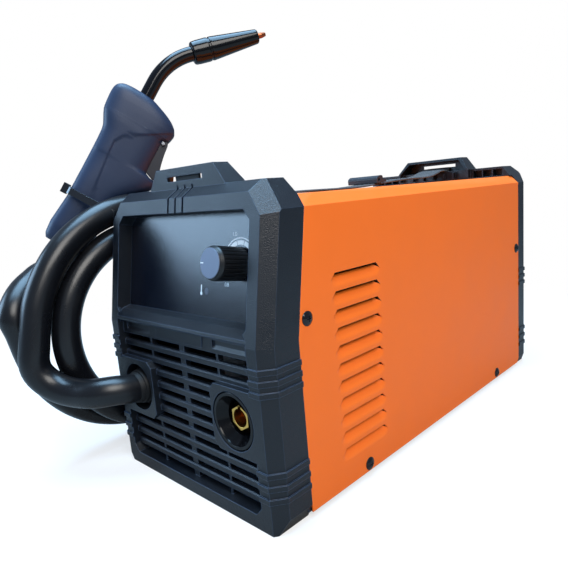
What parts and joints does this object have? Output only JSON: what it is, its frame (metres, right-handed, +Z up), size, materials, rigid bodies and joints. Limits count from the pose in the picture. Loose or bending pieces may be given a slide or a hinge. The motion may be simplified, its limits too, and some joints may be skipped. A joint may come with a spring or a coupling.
{
  "type": "mig welding machine",
  "caption": "Compact wire-feed welding machine with moulded bezels, steel cover, wire bay door, carrying strap and a hand torch on a coiled hose.",
  "frame": {"origin": "on the floor under the middle of the front bezel, halfway along its foot", "axes": "+X to the right seen from the front, +Y to the back, +Z up"},
  "size_m": [0.2745, 0.506, 0.371],
  "materials": {
    "moulding_front": "fine textured",
    "moulding_rear": "fine textured",
    "cover_paint": "powder coat",
    "zinc_steel": "zinc plated",
    "magnet_black": "satin",
    "tray_steel": "powder coat",
    "wall_steel": "galvanised",
    "screw_black": "black oxide",
    "panel_film": "glossy",
    "knob_plastic": "satin",
    "lamp_lens": "clear tinted",
    "socket_plastic": "satin",
    "brass": "turned",
    "cast_feed": "cast",
    "motor_zinc": "satin",
    "arm_red": "gloss",
    "weld_wire": "copper grey",
    "nut_orange": "satin",
    "board_green": "solder mask",
    "sink_aluminium": "extruded",
    "ferrite": "taped",
    "choke_copper": "enamelled",
    "capacitor_sleeve": "glossy",
    "rocker_red": "glossy",
    "strap_web": "woven",
    "buckle_plastic": "satin",
    "handle_plastic": "fine textured",
    "trigger_plastic": "satin",
    "neck_black": "glossy",
    "nozzle_black": "satin",
    "copper": "machined",
    "hose_rubber": "matte",
    "tie_nylon": "glossy"
  },
  "bodies": {
    "machine": {"front_bezel": "moulding_front", "rear_bezel": "moulding_rear", "cover": "cover_paint", "door_hinge_pins": "zinc_steel", "door_magnets": "magnet_black", "base_tray": "tray_steel", "partition": "wall_steel", "cover_screws": "screw_black", "control_panel": "panel_film", "potentiometer": "magnet_black", "thermal_lamp": "lamp_lens", "dinse_socket": "socket_plastic", "socket_brass": "brass", "socket_nut": "brass", "hose_gland": "socket_plastic", "torch_conduit": "socket_plastic", "feed_bracket": "cast_feed", "feed_motor": "motor_zinc", "wire_guides": "brass", "spool_spindle": "socket_plastic", "power_board": "board_green", "heat_sinks": "sink_aluminium", "transformer": "ferrite", "output_choke": "choke_copper", "capacitors": "capacitor_sleeve", "fan_frame": "socket_plastic", "switch_body": "socket_plastic", "mains_gland": "socket_plastic", "carry_strap": "strap_web", "strap_buckle": "buckle_plastic", "torch_handle_left": "handle_plastic", "torch_handle_right": "handle_plastic", "trigger_pin": "zinc_steel", "neck_tube": "neck_black", "torch_nozzle": "nozzle_black", "contact_tip": "copper", "handle_boot": "hose_rubber", "cable_tie": "tie_nylon", "hose_lead": "hose_rubber", "hose_coil": "hose_rubber", "hose_tail": "hose_rubber"},
    "knob": {"speed_knob": "knob_plastic", "knob_shaft": "zinc_steel"},
    "door": {"side_door": "cover_paint"},
    "rocker": {"switch_rocker": "rocker_red"},
    "spool": {"wire_spool": "socket_plastic", "wire_winding": "weld_wire"},
    "drive": {"drive_roll": "zinc_steel"},
    "arm": {"pressure_arm": "arm_red"},
    "press_roll": {"pressure_roll": "zinc_steel"},
    "tension": {"tension_rod": "zinc_steel"},
    "tension_grip": {"tension_knob": "socket_plastic"},
    "spindle_nut": {"spool_nut": "nut_orange"},
    "fan": {"fan_rotor": "socket_plastic"},
    "trigger": {"torch_trigger": "trigger_plastic"}
  },
  "joints": [
    {"name": "speed_knob_turn", "type": "hinge", "parent": "machine", "child": "knob", "pos_m": [0.059, -0.00651, 0.17697], "axis": [0, -0.9848, 0.1736], "range_deg": [-280, 0]},
    {"name": "door_hinge", "type": "hinge", "parent": "machine", "child": "door", "pos_m": [-0.0986, 0.2547, 0.0144], "axis": [0, -1, 0], "range_deg": [0, 90]},
    {"name": "switch_rock", "type": "hinge", "parent": "machine", "child": "rocker", "pos_m": [-0.045, 0.4005, 0.168], "axis": [1, 0, 0], "range_deg": [-18, 0]},
    {"name": "spool_turn", "type": "hinge", "parent": "machine", "child": "spool", "pos_m": [-0.056, 0.2745, 0.112], "axis": [1, 0, 0], "continuous": true},
    {"name": "drive_roll_turn", "type": "hinge", "parent": "machine", "child": "drive", "pos_m": [-0.0598, 0.1865, 0.0606], "axis": [1, 0, 0], "continuous": true},
    {"name": "pressure_arm_lift", "type": "hinge", "parent": "machine", "child": "arm", "pos_m": [-0.0598, 0.2085, 0.0926], "axis": [-1, 0, 0], "range_deg": [0, 60]},
    {"name": "pressure_roll_turn", "type": "hinge", "parent": "arm", "child": "press_roll", "pos_m": [-0.0598, 0.1865, 0.0845], "axis": [-1, 0, 0], "continuous": true},
    {"name": "tension_swing", "type": "hinge", "parent": "machine", "child": "tension", "pos_m": [-0.0608, 0.1595, 0.0871], "axis": [1, 0, 0], "range_deg": [-70, 0]},
    {"name": "tension_knob_turn", "type": "hinge", "parent": "tension", "child": "tension_grip", "pos_m": [-0.0608, 0.12849, 0.09839], "axis": [0, -0.9397, 0.342], "continuous": true},
    {"name": "spool_nut_turn", "type": "hinge", "parent": "machine", "child": "spindle_nut", "pos_m": [-0.083, 0.2745, 0.112], "axis": [1, 0, 0], "continuous": true},
    {"name": "fan_turn", "type": "hinge", "parent": "machine", "child": "fan", "pos_m": [0.04, 0.3795, 0.07], "axis": [0, 1, 0], "continuous": true},
    {"name": "trigger_pull", "type": "hinge", "parent": "machine", "child": "trigger", "pos_m": [-0.10876, 0.06759, 0.27105], "axis": [0.866, -0.5, 0], "range_deg": [0, 8], "stiffness_Nm_per_rad": 0.05}
  ],
  "couplings": [
    {"joint": "pressure_roll_turn", "follows": "drive_roll_turn", "ratio": 1.0909}
  ]
}
